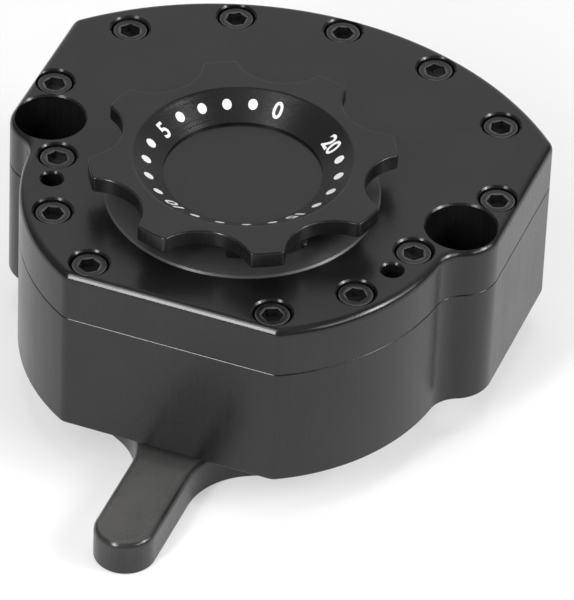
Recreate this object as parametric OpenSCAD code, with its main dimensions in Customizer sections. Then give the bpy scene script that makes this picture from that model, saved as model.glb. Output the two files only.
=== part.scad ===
// Rotary steering damper for a motorcycle.
// The mounting face is the plane z = 0 and its two bolt holes lie on the X axis, one each side of
// the origin. The steering arm points along -Y and the dial faces up. All sizes are in millimetres.

/* [Body] */
// Width across the two straight side walls
body_w = 102.6; // [102:0.1:110]
// Height of the housing, from the mounting face to the split line
housing_h = 26.6; // [25:0.1:34]
// Thickness of the cover
cover_t = 10.9; // [10.5:0.1:14]
// Radius of the round front, about the shaft
front_r = 43.6; // [43:0.1:46]
// Distance of the flat front face from the shaft axis
front_flat = 37.6; // [37.2:0.1:41]
// Radius of the curved back wall
back_r = 70; // [66:0.5:90]
// Distance of the back wall from the shaft axis
back_reach = 60.8; // [60.5:0.1:66]
// Radius of the two back corners
back_corner_r = 3; // [2:0.1:6]
// Radius of the hollow between each ear and the round front
ear_fillet_r = 6.4; // [3:0.1:8]
// Rounding of the cover's top edge
cover_edge_r = 1.7; // [0.6:0.1:2]
// Rounding of the housing's bottom edge
housing_edge_r = 0.3; // [0.2:0.1:1.5]

/* [Mounting holes] */
// Distance between the two mounting holes
mount_spacing = 86.6; // [85:0.1:87]
// Distance of the shaft axis in front of the mounting holes
shaft_front = 6.5; // [6:0.1:9]
// Diameter of the clearance hole for each mounting bolt
mount_hole_d = 9; // [8.4:0.1:10]
// Diameter of the well for each mounting bolt's head
mount_well_d = 14; // [13.5:0.1:14.4]
// Height of the bolt head's seat above the mounting face
mount_seat_h = 17; // [10:0.5:22]

/* [Cover screws] */
// Thread diameter of the cover screws
screw_d = 4; // [3.5:0.1:4.5]
// Diameter of the screw heads
screw_head_d = 7; // [6.5:0.1:7.4]
// Height of the screw heads
screw_head_h = 4; // [3:0.1:4.5]
// Width across the flats of the screws' sockets
screw_socket = 3; // [2.5:0.1:3.4]
// Depth of the head tops below the cover's top
screw_sink = 0.5; // [0.1:0.05:1]
// Length of thread in the housing
screw_grip = 9; // [6:0.5:11]
// Radius of the front arc of screws, about the shaft
front_screw_r = 37.6; // [36.8:0.1:38.4]
// Angle of the first front screw below the X axis
front_screw_first = 6.4; // [5:0.1:7]
// Angle between neighbouring front screws
front_screw_step = 26.7; // [24:0.1:28]
// Radius of the back arc of screws, about the shaft
back_screw_r = 56.1; // [55:0.1:56.4]
// Angle between neighbouring back screws
back_screw_step = 22.5; // [18:0.1:23]
// Distance of each side screw from the middle plane
side_screw_x = 46.9; // [46:0.1:47.2]
// Distance of each side screw behind the mounting holes
side_screw_back = 11; // [11:0.1:16]

/* [Accessory holes] */
// Radius of the two tapped accessory holes' arc, about the shaft
tap_r = 37.3; // [36:0.1:38.4]
// Angle of the accessory holes below the X axis
tap_angle = 17.8; // [17:0.1:21]
// Diameter of the accessory holes
tap_d = 4.2; // [3.3:0.1:5]
// Depth of the accessory holes
tap_depth = 8; // [5:0.5:9]

/* [Chamber and rotor] */
// Thickness of the chamber floor
floor_t = 11; // [10.5:0.1:13]
// Radius of the chamber, about the shaft
chamber_r = 45; // [38:0.5:46]
// Swing of the wing from the middle to the chamber's end wall
stop_angle = 45; // [30:1:48]
// Thickness of the wing
vane_t = 9; // [7:0.1:11]
// Diameter of the rotor's hub in the chamber
hub_d = 26; // [25:0.1:30]
// Diameter of the shaft
shaft_d = 18; // [16:0.1:19]
// Wall thickness of the two bushes
bush_wall = 2; // [1.5:0.1:2.5]
// Diameter of the rotor's bore for the valve spool
valve_d = 10; // [9:0.1:11]
// Diameter of the oil ports in the rotor
port_d = 3; // [2:0.1:3.5]

/* [Seals] */
// Outside diameter of the shaft seal
shaft_seal_d = 28; // [26:0.5:32]
// Height of the shaft seal
shaft_seal_h = 4; // [3:0.1:4.5]
// Thickness of the spring clip below the shaft seal
clip_t = 1; // [0.8:0.1:1.2]
// Width of the cover seal
cover_seal_w = 1.8; // [1.4:0.1:2.4]
// Depth of the cover seal's groove
cover_seal_h = 1.4; // [1:0.1:2]
// Land between the chamber and the cover seal
cover_seal_land = 2; // [1.5:0.1:2.5]
// Thickness of the wing's seal strip
vane_seal_t = 2.4; // [1.6:0.1:3.2]
// Depth of the seal strip's groove in the wing
vane_seal_h = 2; // [1.5:0.1:3]
// Thickness of the two thrust washers
washer_t = 1; // [0.8:0.1:1.4]

/* [Dial] */
// Diameter over the dial's lobes
dial_d = 60.6; // [58:0.1:66]
// Height of the dial's top above the cover
dial_rise = 8.6; // [8.2:0.1:11]
// Thickness of the lobed rim
dial_rim_t = 3.5; // [3.3:0.1:4.2]
// Number of lobes
dial_lobes = 8; // [6:1:10]
// Angle of the first lobe from the X axis
dial_lobe_angle = 30.2; // [0:0.1:45]
// Radius of the scallops between the lobes
scallop_r = 9.9; // [8:0.1:11]
// Depth of the scallops
scallop_depth = 5.8; // [3:0.1:6]
// Diameter of the dish at the dial's top
dish_d = 43.5; // [40:0.1:46]
// Diameter of the dish's flat floor
dish_floor_d = 31.4; // [26:0.1:34]
// Depth of the dish
dish_depth = 4.6; // [4:0.1:4.8]
// Height of the small step round the dish's floor
dish_step = 0.5; // [0.2:0.1:0.8]
// Diameter of the dial's hub
dial_hub_d = 37; // [34:0.1:40]
// Number of equal divisions in a full turn of the dial
dial_divisions = 23; // [22:1:26]
// Number of steps from the lowest setting to the highest
dial_steps = 20; // [16:1:20]
// Diameter of the plate under the dial
plate_d = 54.4; // [50:0.1:58]
// Thickness of the plate
plate_t = 1.4; // [1:0.1:1.8]
// Height of the plate's top above the cover
plate_rise = 0.4; // [0.2:0.05:0.4]
// Diameter of the valve stem
stem_d = 8; // [7:0.1:8.5]
// Diameter of the detent ball
ball_d = 4; // [3.5:0.1:4.2]
// Radius of the detent pockets' circle
detent_r = 14.5; // [14.2:0.1:15]
// Diameter of the dial's stop pin
stop_pin_d = 2.4; // [2:0.1:3]
// Gap between the dial's hub and the stop pin
stop_pin_clear = 0.8; // [0.4:0.1:2]
// Angle of the stop pin below the X axis
stop_pin_angle = 33.7; // [20:0.1:60]

/* [Steering arm] */
// Gap between the housing and the arm
arm_gap = 1.8; // [0.8:0.1:2.4]
// Thickness of the arm
arm_t = 7.6; // [7:0.1:9]
// Width of the arm's tongue
arm_w = 12.4; // [10:0.1:15]
// Distance of the arm's tip from the shaft axis
arm_reach = 64.9; // [58:0.1:80]
// Diameter of the arm's hub
arm_hub_d = 65; // [50:0.5:66]
// Radius of the hollow flare from the tongue into the hub
arm_flare_r = 16; // [8:0.5:20]
// Rounding of the arm's upper edges
arm_edge_r = 1.2; // [0.5:0.1:1.6]
// Rounding of the arm's lower edges
arm_under_r = 0.4; // [0.3:0.1:1.2]
// Width across the flats where the arm fits the shaft
drive_flats = 14; // [12:0.1:15]
// Thread diameter of the arm screw
arm_screw_d = 6; // [5:0.5:6]

/* [Clearances] */
// Radial clearance of pressed and seated pieces
fit_gap = 0.02; // [0.01:0.01:0.05]
// Radial clearance of running fits
run_gap = 0.03; // [0.01:0.01:0.08]
// Radial clearance of screw threads
thread_gap = 0.05; // [0.02:0.01:0.1]
// Clearance between faces that move past each other
free_gap = 0.3; // [0.25:0.05:0.4]

/* [Hidden] */
$fn = 96;

// Small overlap that lets a cut pass cleanly through a face
cut = 1;
// Layers that make up a rounded edge
edge_steps = 3;
// Tiny step that lets walls and arcs that only touch cross each other cleanly
ease = 0.005;

// Heights above the mounting face
top_z = housing_h + cover_t;
arm_top_z = -arm_gap;
arm_bottom_z = arm_top_z - arm_t;

// Body outline, seen from above with the shaft at the origin
half_w = body_w / 2;
hole_x = mount_spacing / 2;
hole_y = shaft_front;
ear_r = half_w - hole_x;
back_centre_y = back_reach - back_r;
corner_x = half_w - back_corner_r;
corner_y = back_centre_y + sqrt(pow(back_r - back_corner_r, 2) - pow(corner_x, 2));
hole_distance = norm([hole_x, hole_y]);
hollow_distance = front_r + ear_fillet_r;
hollow_reach = ear_r + ear_fillet_r;
hollow_angle = atan2(hole_y, hole_x) - acos(
    (pow(hole_distance, 2) + pow(hollow_distance, 2) - pow(hollow_reach, 2))
    / (2 * hole_distance * hollow_distance));
hollow_centre = hollow_distance * [cos(hollow_angle), sin(hollow_angle)];

// Screws and pins in the cover
head_gap = 0.25;
hole_chamfer = 0.35;
screw_top_z = top_z - screw_sink;
screw_seat_z = screw_top_z - screw_head_h;
screw_tip_z = housing_h - screw_grip;
screw_spots = concat(
    [for (side = [-1, 1], k = [0:2]) let (a = front_screw_first + k * front_screw_step)
        front_screw_r * [side * cos(a), -sin(a)]],
    [for (k = [-2:2]) back_screw_r * [sin(k * back_screw_step), cos(k * back_screw_step)]],
    [for (side = [-1, 1]) [side * side_screw_x, hole_y + side_screw_back]]);
dowel_d = 4;
dowel_half = 6;
dowel_angle = front_screw_first + 1.5 * front_screw_step;

// Bearings and seals along the shaft
washer_proud = 0.3;
face_gap = 0.05;
washer_d = hub_d - 2 * free_gap;
bush_d = shaft_d + 2 * bush_wall;
clip_z = 0.3;
clip_groove = 1;
clip_play = 0.2;
seal_pocket_h = clip_z + clip_t + clip_play + shaft_seal_h;
washer_recess = washer_t - washer_proud;
lower_bush_h = floor_t - washer_recess - seal_pocket_h;
upper_bush_h = 4.7;
web_z = housing_h + washer_recess + upper_bush_h;

// Rotor and wing
hub_z = floor_t + washer_proud + face_gap;
hub_h = housing_h - washer_proud - face_gap - hub_z;
journal_top_z = web_z - free_gap;
vane_gap = 0.8;
vane_z = floor_t + vane_gap;
vane_h = housing_h - vane_gap - vane_z;
vane_seal_root = 1.5;
vane_seal_start = hub_d / 2 + vane_seal_root;
port_angle = 50;
port_z = (floor_t + housing_h) / 2;

// Arm end of the shaft
arm_washer_t = 1.2;
arm_washer_lip = 0.7;
arm_washer_d = shaft_d + 2 * arm_washer_lip;
arm_recess_h = 3.8;
arm_web_h = arm_t - arm_recess_h;
arm_screw_head_d = 10;
arm_screw_head_h = 2.3;
arm_screw_socket = 4;
arm_screw_reach = 10;
arm_screw_runout = 1;
drive_short = 0.3;
flare_x = arm_w / 2 + arm_flare_r;
flare_y = -sqrt(pow(arm_hub_d / 2 + arm_flare_r, 2) - pow(flare_x, 2));

// Valve spool and its stem
spool_floor = 3;
spool_z = floor_t + spool_floor;
spool_play = 0.1;
spool_top_z = web_z - spool_play;
dial_web = 0.5;
stem_top_z = top_z + dial_rise - dish_depth - dial_web;
stem_gap = 0.05;
stem_groove_h = 1.5;
stem_groove_depth = 1.2;
stem_groove_z = (web_z + top_z - plate_t) / 2;
metering_h = 3;
metering_offset = 0.8;
metering_core_d = valve_d - 3 * metering_offset;

// Dial
dial_top_z = top_z + dial_rise;
dial_rim_z = dial_top_z - dial_rim_t;
dial_hub_z = top_z + plate_rise + free_gap;
dial_chamfer = 0.35;
step_angle = 360 / dial_divisions;
dial_travel = dial_steps * step_angle;
scallop_centre_r = dial_d / 2 - scallop_depth + scallop_r;
stop_gap_angle = 0.4;
stop_pin_r = (dial_hub_d + stop_pin_d) / 2 + stop_pin_clear;
stop_half_angle = asin(stop_pin_d / 2 / stop_pin_r) + stop_gap_angle;
lug_angle = 360 - dial_travel - 2 * stop_half_angle;
lug_lip = 0.2;
lug_r = stop_pin_r + stop_pin_d / 2 + lug_lip;
stop_pin_rise = 1.5;
stop_pin_sunk = 5;
grub_d = 2;
grub_l = 6;
grub_socket = 0.9;
grub_lift = 1.5;
grub_z = dial_hub_z + grub_lift;

// Detent
ball_lift = 0.6;
ball_gap = 0.1;
ball_z = dial_hub_z - ball_gap - ball_d / 2;
pocket_gap = 0.25;
pocket_r = ball_d / 2 + pocket_gap;
ball_bore_d = ball_d + 2 * stem_gap;
spring_wire_d = 0.5;
spring_turns = 4;
spring_l = 5;
spring_cup = 0.2;
spring_room = 0.2;
spring_top_z = ball_z - ball_d / 2 + spring_cup;
spring_z = spring_top_z - spring_l;

// Oil filling hole
fill_inset = 6;
fill_y = chamber_r - fill_inset;
fill_d = 6;
fill_head_d = 10;
fill_head_h = 3;
fill_seal_t = 1;
fill_sink = 0.3;
fill_socket = 4;

anodised = [0.11, 0.11, 0.12];
anodised_arm = [0.17, 0.17, 0.17];
black_steel = [0.08, 0.08, 0.08];
bright_steel = [0.62, 0.62, 0.64];
bronze = [0.62, 0.45, 0.22];
seal_rubber = [0.05, 0.05, 0.05];

// Moves the shaft's own frame to its place on the part
module at_shaft() {
    translate([0, -shaft_front, 0]) children();
}

// Repeats a shape at both sides of the middle plane
module both_sides() {
    children();
    mirror([1, 0, 0]) children();
}

// Straight prism of a flat outline with rounded edges; the outline shrinks by $inset
module rounded_prism(height, top_r, bottom_r) {
    translate([0, 0, bottom_r]) linear_extrude(height - top_r - bottom_r) let ($inset = 0) children();
    for (k = [1:edge_steps]) {
        rise = sin(90 * k / edge_steps);
        shrink = 1 - cos(90 * (k - 0.5) / edge_steps);
        if (top_r > 0)
            translate([0, 0, height - 2 * top_r])
                linear_extrude(top_r * (1 + rise)) let ($inset = top_r * shrink) children();
        if (bottom_r > 0)
            translate([0, 0, bottom_r * (1 - rise)])
                linear_extrude(bottom_r * (1 + rise)) let ($inset = bottom_r * shrink) children();
    }
}

// Outline shared by the housing and the cover
module body_outline() {
    side = half_w - $inset - ease;
    intersection() {
        circle(front_r - $inset);
        translate([-front_r, -front_flat + $inset]) square([2 * front_r, front_flat + hole_y - $inset]);
    }
    translate([-side, hole_y]) square([2 * side, corner_y - hole_y]);
    translate([0, back_centre_y]) intersection() {
        circle(back_r - $inset - ease);
        polygon([[0, 0], 2 * [corner_x, corner_y - back_centre_y],
            2 * [-corner_x, corner_y - back_centre_y]]);
    }
    both_sides() {
        translate([corner_x, corner_y]) circle(back_corner_r - $inset);
        translate([hole_x, hole_y]) circle(ear_r - $inset);
        difference() {
            polygon([[0, 0], [hole_x, hole_y], hollow_centre]);
            translate(hollow_centre) circle(ear_fillet_r + $inset + ease);
        }
    }
}

// Fan swept by the wing, grown outwards by a margin
module fan_outline(margin) {
    side = vane_t / 2 + margin;
    apex = -side / sin(stop_angle);
    far = 2 * chamber_r;
    intersection() {
        circle(chamber_r + margin);
        translate([0, apex]) polygon([[0, 0], far * [sin(stop_angle), cos(stop_angle)],
            [0, 2 * far], far * [-sin(stop_angle), cos(stop_angle)]]);
    }
    circle(hub_d / 2 + free_gap + margin);
}

// Straight round hole with a chamfered mouth at its upper end
module chamfered_hole(d, depth) {
    translate([0, 0, -depth]) cylinder(d = d, h = depth + cut);
    translate([0, 0, -hole_chamfer]) cylinder(d1 = d, d2 = d + 4 * hole_chamfer, h = 2 * hole_chamfer);
}

module ring(outer_d, inner_d, height) {
    difference() {
        cylinder(d = outer_d, h = height);
        translate([0, 0, -cut]) cylinder(d = inner_d, h = height + 2 * cut);
    }
}

// Screw with a round head and a hexagon socket, its head's seat at z = 0
module socket_screw(d, length, head_d, head_h, socket) {
    edge = 0.3;
    socket_depth = head_h / 2;
    difference() {
        union() {
            translate([0, 0, -length]) cylinder(d = d, h = length + edge);
            cylinder(d = head_d, h = head_h - edge);
            translate([0, 0, head_h - edge]) cylinder(d1 = head_d, d2 = head_d - 2 * edge, h = edge);
        }
        translate([0, 0, head_h - socket_depth])
            cylinder(d = socket / cos(30), h = socket_depth + cut, $fn = 6);
    }
}

module housing() {
    color(anodised) at_shaft() difference() {
        rounded_prism(housing_h, 0, housing_edge_r) body_outline();
        translate([0, 0, floor_t]) linear_extrude(housing_h) fan_outline(0);
        translate([0, 0, housing_h - cover_seal_h]) linear_extrude(cover_seal_h + cut)
            seal_outline(fit_gap);
        both_sides() translate([hole_x, hole_y, 0]) {
            translate([0, 0, -cut]) cylinder(d = mount_hole_d, h = housing_h + 2 * cut);
            translate([0, 0, mount_seat_h]) cylinder(d = mount_well_d, h = housing_h);
        }
        for (spot = screw_spots)
            translate([spot.x, spot.y, screw_tip_z - cut])
                cylinder(d = screw_d + 2 * thread_gap, h = housing_h);
        dowel_holes(housing_h - dowel_half);
        translate([0, 0, floor_t - washer_recess]) cylinder(d = washer_d + 2 * fit_gap, h = floor_t);
        translate([0, 0, -cut]) cylinder(d = bush_d + 2 * fit_gap, h = floor_t + cut);
        translate([0, 0, -cut]) cylinder(d = shaft_seal_d + 2 * fit_gap, h = seal_pocket_h + cut);
        translate([0, 0, clip_z - fit_gap])
            cylinder(d = shaft_seal_d + 2 * clip_groove, h = clip_t + 2 * fit_gap);
        translate([0, fill_y, 0]) {
            translate([0, 0, -cut]) cylinder(d = fill_d + 2 * thread_gap, h = floor_t + 2 * cut);
            translate([0, 0, -cut])
                cylinder(d = fill_head_d + 2 * head_gap, h = fill_sink + fill_head_h + fill_seal_t + cut);
        }
    }
}

module cover() {
    color(anodised) at_shaft() difference() {
        translate([0, 0, housing_h]) rounded_prism(cover_t, cover_edge_r, 0) body_outline();
        both_sides() translate([hole_x, hole_y, top_z]) chamfered_hole(mount_well_d, cover_t + cut);
        for (spot = screw_spots) translate([spot.x, spot.y, top_z]) {
            chamfered_hole(screw_head_d + 2 * head_gap, top_z - screw_seat_z);
            translate([0, 0, -cover_t - cut]) cylinder(d = screw_d + 2 * head_gap, h = cover_t + cut);
        }
        both_sides() rotate(-tap_angle) translate([tap_r, 0, top_z]) chamfered_hole(tap_d, tap_depth);
        dowel_holes(housing_h - cut);
        translate([0, 0, housing_h - cut]) {
            cylinder(d = washer_d + 2 * fit_gap, h = washer_recess + cut);
            cylinder(d = bush_d + 2 * fit_gap, h = web_z - housing_h + cut);
        }
        translate([0, 0, housing_h]) cylinder(d = stem_d + 2 * stem_gap, h = cover_t + cut);
        translate([0, 0, top_z + plate_rise - plate_t])
            cylinder(d = plate_d + 2 * fit_gap, h = plate_t + cut);
        translate([0, detent_r, spring_z]) cylinder(d = ball_bore_d, h = cover_t);
        at_stop_pin() translate([0, 0, top_z - stop_pin_sunk])
            cylinder(d = stop_pin_d + 2 * fit_gap, h = cover_t);
    }
}

// Path of the cover seal round the chamber, widened by a margin each side
module seal_outline(margin) {
    difference() {
        fan_outline(cover_seal_land + cover_seal_w + margin);
        fan_outline(cover_seal_land - margin);
    }
}

module cover_seal() {
    color(seal_rubber) at_shaft() translate([0, 0, housing_h - cover_seal_h])
        linear_extrude(cover_seal_h) seal_outline(-fit_gap);
}

module at_dowels() {
    both_sides() rotate(-dowel_angle) translate([front_screw_r, 0, 0]) children();
}

module dowel_holes(from_z) {
    at_dowels() translate([0, 0, from_z - fit_gap])
        cylinder(d = dowel_d + 2 * fit_gap, h = housing_h + dowel_half - from_z + 2 * fit_gap);
}

module cover_dowels() {
    color(bright_steel) at_shaft() at_dowels() translate([0, 0, housing_h - dowel_half])
        cylinder(d = dowel_d, h = 2 * dowel_half);
}

module cover_screws() {
    color(black_steel) at_shaft() for (spot = screw_spots) translate([spot.x, spot.y, screw_seat_z])
        socket_screw(screw_d, screw_seat_z - screw_tip_z, screw_head_d, screw_head_h, screw_socket);
}

module fill_plug() {
    color(black_steel) at_shaft() translate([0, fill_y, fill_sink + fill_head_h]) mirror([0, 0, 1])
        socket_screw(fill_d, floor_t - fill_sink - fill_head_h - free_gap, fill_head_d, fill_head_h,
            fill_socket);
}

module fill_plug_seal() {
    color(seal_rubber) at_shaft() translate([0, fill_y, fill_sink + fill_head_h])
        ring(fill_head_d, fill_d + 2 * fit_gap, fill_seal_t);
}

module lower_bush() {
    color(bronze) at_shaft() translate([0, 0, seal_pocket_h])
        ring(bush_d, shaft_d + 2 * run_gap, lower_bush_h);
}

module upper_bush() {
    color(bronze) at_shaft() translate([0, 0, housing_h + washer_recess])
        ring(bush_d, shaft_d + 2 * run_gap, upper_bush_h);
}

module lower_thrust_washer() {
    color(bronze) at_shaft() translate([0, 0, floor_t - washer_recess])
        ring(washer_d, shaft_d + 2 * free_gap, washer_t);
}

module upper_thrust_washer() {
    color(bronze) at_shaft() translate([0, 0, housing_h - washer_proud])
        ring(washer_d, shaft_d + 2 * free_gap, washer_t);
}

// Lip seal: a stiff outer band, a web and a lip that meets the shaft
module shaft_seal() {
    outer = shaft_seal_d / 2;
    lip = shaft_d / 2 + run_gap;
    band = 1.4;
    web = 1.2;
    lip_t = 0.8;
    color(seal_rubber) at_shaft() translate([0, 0, seal_pocket_h - shaft_seal_h]) rotate_extrude()
        polygon([[outer, 0], [outer, shaft_seal_h], [outer - band, shaft_seal_h], [outer - band, web],
            [lip + 2 * lip_t, web], [lip + lip_t, shaft_seal_h - web], [lip, shaft_seal_h - web],
            [lip + lip_t / 2, 0]]);
}

// Open spring ring in the groove below the shaft seal
module seal_clip() {
    gap_w = 8;
    clip_w = 2.6;
    outer_d = shaft_seal_d + 2 * clip_groove - 2 * fit_gap;
    color(black_steel) at_shaft() translate([0, 0, clip_z]) difference() {
        ring(outer_d, outer_d - 2 * clip_w, clip_t);
        translate([-gap_w / 2, 0, -cut]) cube([gap_w, outer_d, clip_t + 2 * cut]);
    }
}

// Shaft end with two flats that drives the arm
module drive_end(height, margin) {
    intersection() {
        cylinder(d = shaft_d + 2 * margin, h = height);
        translate([-shaft_d, -drive_flats / 2 - margin, 0])
            cube([2 * shaft_d, drive_flats + 2 * margin, height]);
    }
}

module vane_rotor() {
    drive_h = arm_web_h - drive_short;
    color(bright_steel) at_shaft() difference() {
        union() {
            translate([0, 0, arm_top_z]) cylinder(d = shaft_d, h = journal_top_z - arm_top_z);
            translate([0, 0, arm_top_z - drive_h]) drive_end(drive_h + cut, 0);
            translate([0, 0, hub_z]) cylinder(d = hub_d, h = hub_h);
            intersection() {
                translate([-vane_t / 2, 0, vane_z]) cube([vane_t, chamber_r, vane_h]);
                translate([0, 0, vane_z]) cylinder(r = chamber_r - vane_gap, h = vane_h);
            }
        }
        translate([0, 0, spool_z - free_gap]) cylinder(d = valve_d, h = top_z);
        for (side = [-1, 1]) rotate(90 + side * port_angle) translate([0, 0, port_z])
            rotate([0, 90, 0]) cylinder(d = port_d, h = hub_d);
        translate([0, 0, arm_top_z - arm_t])
            cylinder(d = arm_screw_d + 2 * thread_gap, h = arm_t + arm_screw_reach + arm_screw_runout);
        vane_seal_form();
    }
}

module vane_seal_form() {
    inner_y = chamber_r - vane_gap - vane_seal_h;
    difference() {
        intersection() {
            translate([-vane_seal_t / 2, vane_seal_start, floor_t + free_gap])
                cube([vane_seal_t, chamber_r, housing_h - floor_t - 2 * free_gap]);
            cylinder(r = chamber_r - free_gap, h = housing_h);
        }
        translate([-vane_seal_t, 0, vane_z + vane_seal_h])
            cube([2 * vane_seal_t, inner_y, vane_h - 2 * vane_seal_h]);
    }
}

module vane_seal() {
    color(seal_rubber) at_shaft() vane_seal_form();
}

// Arm seen from above: a tongue with a round tip that flares into a round hub
module arm_outline() {
    half = arm_w / 2;
    side = half - $inset - ease;
    circle(d = arm_hub_d - 2 * $inset);
    translate([0, half - arm_reach]) circle(half - $inset);
    translate([-side, half - arm_reach]) square([2 * side, arm_reach - half]);
    both_sides() difference() {
        polygon([[0, 0], [0, flare_y], [flare_x, flare_y]]);
        translate([flare_x, flare_y]) circle(arm_flare_r + $inset + 2 * ease);
    }
}

module steering_arm() {
    color(anodised_arm) at_shaft() translate([0, 0, arm_bottom_z]) difference() {
        rounded_prism(arm_t, arm_edge_r, arm_under_r) arm_outline();
        drive_end(arm_t + cut, fit_gap);
        translate([0, 0, -cut]) cylinder(d = arm_washer_d + 2 * head_gap, h = arm_recess_h + cut);
    }
}

module arm_washer() {
    color(bright_steel) at_shaft() translate([0, 0, arm_bottom_z + arm_recess_h - arm_washer_t])
        ring(arm_washer_d, arm_screw_d + 2 * head_gap, arm_washer_t);
}

module arm_screw() {
    seat_z = arm_bottom_z + arm_recess_h - arm_washer_t;
    color(black_steel) at_shaft() translate([0, 0, seat_z]) mirror([0, 0, 1])
        socket_screw(arm_screw_d, arm_top_z + arm_screw_reach - seat_z, arm_screw_head_d,
            arm_screw_head_h, arm_screw_socket);
}

// Spool with an off-centre metering groove, and a stem that carries the dial
module valve_spool() {
    spool_d = valve_d - 2 * run_gap;
    color(bright_steel) at_shaft() difference() {
        union() {
            translate([0, 0, spool_z]) cylinder(d = spool_d, h = spool_top_z - spool_z);
            translate([0, 0, spool_top_z - cut]) cylinder(d = stem_d, h = stem_top_z - spool_top_z + cut);
        }
        translate([metering_offset, 0, port_z - metering_h / 2])
            ring(2 * valve_d, metering_core_d, metering_h);
        translate([0, 0, stem_groove_z - stem_groove_h / 2])
            ring(2 * stem_d, stem_d - 2 * stem_groove_depth, stem_groove_h);
    }
}

module stem_seal() {
    section_r = stem_groove_depth / 2;
    color(seal_rubber) at_shaft() translate([0, 0, stem_groove_z]) rotate_extrude()
        translate([stem_d / 2 - section_r, 0]) circle(section_r - fit_gap, $fn = 32);
}

// Turned outline of the dial, from its axis outwards
module dial_profile() {
    rim = dial_d / 2;
    polygon([[0, dial_hub_z], [dial_hub_d / 2, dial_hub_z], [dial_hub_d / 2, dial_rim_z],
        [rim - dial_chamfer, dial_rim_z], [rim, dial_rim_z + dial_chamfer],
        [rim, dial_top_z - dial_chamfer], [rim - dial_chamfer, dial_top_z],
        [dish_d / 2, dial_top_z], [dish_floor_d / 2, dial_top_z - dish_depth + dish_step],
        [dish_floor_d / 2, dial_top_z - dish_depth], [0, dial_top_z - dish_depth]]);
}

// Lug under the rim that meets the stop pin at both ends of the dial's turn
module dial_lug() {
    start = -stop_pin_angle - stop_half_angle - lug_angle;
    rotate(start) translate([0, 0, dial_hub_z]) rotate_extrude(angle = lug_angle)
        translate([dial_hub_d / 2 - cut, 0])
            square([lug_r - dial_hub_d / 2 + cut, dial_rim_z - dial_hub_z + cut]);
}

module dial_knob() {
    color(anodised) at_shaft() difference() {
        union() {
            rotate_extrude() dial_profile();
            dial_lug();
        }
        for (k = [0:dial_lobes - 1])
            rotate(dial_lobe_angle + (k + 0.5) * 360 / dial_lobes)
                translate([scallop_centre_r, 0, dial_rim_z - cut])
                    cylinder(r = scallop_r, h = dial_rim_t + 2 * cut);
        translate([0, 0, top_z]) cylinder(d = stem_d + 2 * fit_gap, h = stem_top_z + fit_gap - top_z);
        for (k = [0:dial_steps]) rotate(90 + k * step_angle) translate([detent_r, 0, ball_z + ball_lift])
            sphere(r = pocket_r, $fn = 32);
        at_grub_screws() cylinder(d = grub_d + 2 * thread_gap, h = dial_hub_d);
    }
}

// Two radial screws a quarter turn apart, each facing a scallop
module at_grub_screws() {
    for (turn = [0, 90])
        rotate(dial_lobe_angle + 1.5 * 360 / dial_lobes + turn)
            translate([stem_d / 2 + fit_gap, 0, grub_z]) rotate([0, 90, 0]) children();
}

module dial_grub_screws() {
    color(black_steel) at_shaft() at_grub_screws() difference() {
        cylinder(d = grub_d, h = grub_l);
        translate([0, 0, grub_l / 2]) cylinder(d = grub_socket / cos(30), h = grub_l, $fn = 6);
    }
}

module at_stop_pin() {
    rotate(-stop_pin_angle) translate([stop_pin_r, 0, 0]) children();
}

module dial_plate() {
    plate_chamfer = 0.35;
    color(anodised) at_shaft() difference() {
        translate([0, 0, top_z + plate_rise - plate_t]) union() {
            cylinder(d = plate_d, h = plate_t - plate_chamfer);
            translate([0, 0, plate_t - plate_chamfer])
                cylinder(d1 = plate_d, d2 = plate_d - 2 * plate_chamfer, h = plate_chamfer);
        }
        cylinder(d = stem_d + 2 * head_gap, h = dial_top_z);
        translate([0, detent_r, 0]) cylinder(d = ball_bore_d, h = dial_top_z);
        at_stop_pin() cylinder(d = stop_pin_d + 2 * fit_gap, h = dial_top_z);
    }
}

module dial_stop_pin() {
    dome_r = stop_pin_d / 2;
    color(black_steel) at_shaft() at_stop_pin() {
        translate([0, 0, top_z - stop_pin_sunk])
            cylinder(d = stop_pin_d, h = stop_pin_sunk + stop_pin_rise - dome_r);
        translate([0, 0, top_z + stop_pin_rise - dome_r]) sphere(d = stop_pin_d, $fn = 32);
    }
}

module detent_ball() {
    color(bright_steel) at_shaft() translate([0, detent_r, ball_z]) sphere(d = ball_d, $fn = 48);
}

// Round wire wound into an open coil, from z = 0 upwards
module coil_spring(wire_d, coil_d, length, turns) {
    rings = 8;
    sides = 6;
    last = turns * rings;
    climb = (length - wire_d) / last;
    points = [for (k = [0:last], s = [0:sides - 1])
        let (turn = 360 * k / rings, r = coil_d / 2 + wire_d / 2 * cos(360 * s / sides))
        [r * cos(turn), r * sin(turn), wire_d / 2 * (1 + sin(360 * s / sides)) + climb * k]];
    walls = [for (k = [0:last - 1], s = [0:sides - 1])
        let (a = k * sides + s, b = k * sides + (s + 1) % sides) [a, a + sides, b + sides, b]];
    polyhedron(points, concat(walls, [[for (s = [0:sides - 1]) s],
        [for (s = [sides - 1:-1:0]) last * sides + s]]));
}

module detent_spring() {
    coil_d = ball_d - spring_wire_d - 2 * spring_room;
    color(bright_steel) at_shaft() translate([0, detent_r, spring_z])
        coil_spring(spring_wire_d, coil_d, spring_l, spring_turns);
}

housing();
cover();
cover_seal();
cover_dowels();
cover_screws();
fill_plug();
fill_plug_seal();
lower_bush();
upper_bush();
lower_thrust_washer();
upper_thrust_washer();
shaft_seal();
seal_clip();
vane_rotor();
vane_seal();
steering_arm();
arm_washer();
arm_screw();
valve_spool();
stem_seal();
dial_knob();
dial_grub_screws();
dial_plate();
dial_stop_pin();
detent_ball();
detent_spring();
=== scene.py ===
"""Rotary steering damper: smooth shells, fasteners, dial marks and finishes over the CAD frame."""

import math

import bmesh
import bpy
from mathutils import Matrix, Vector


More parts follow.
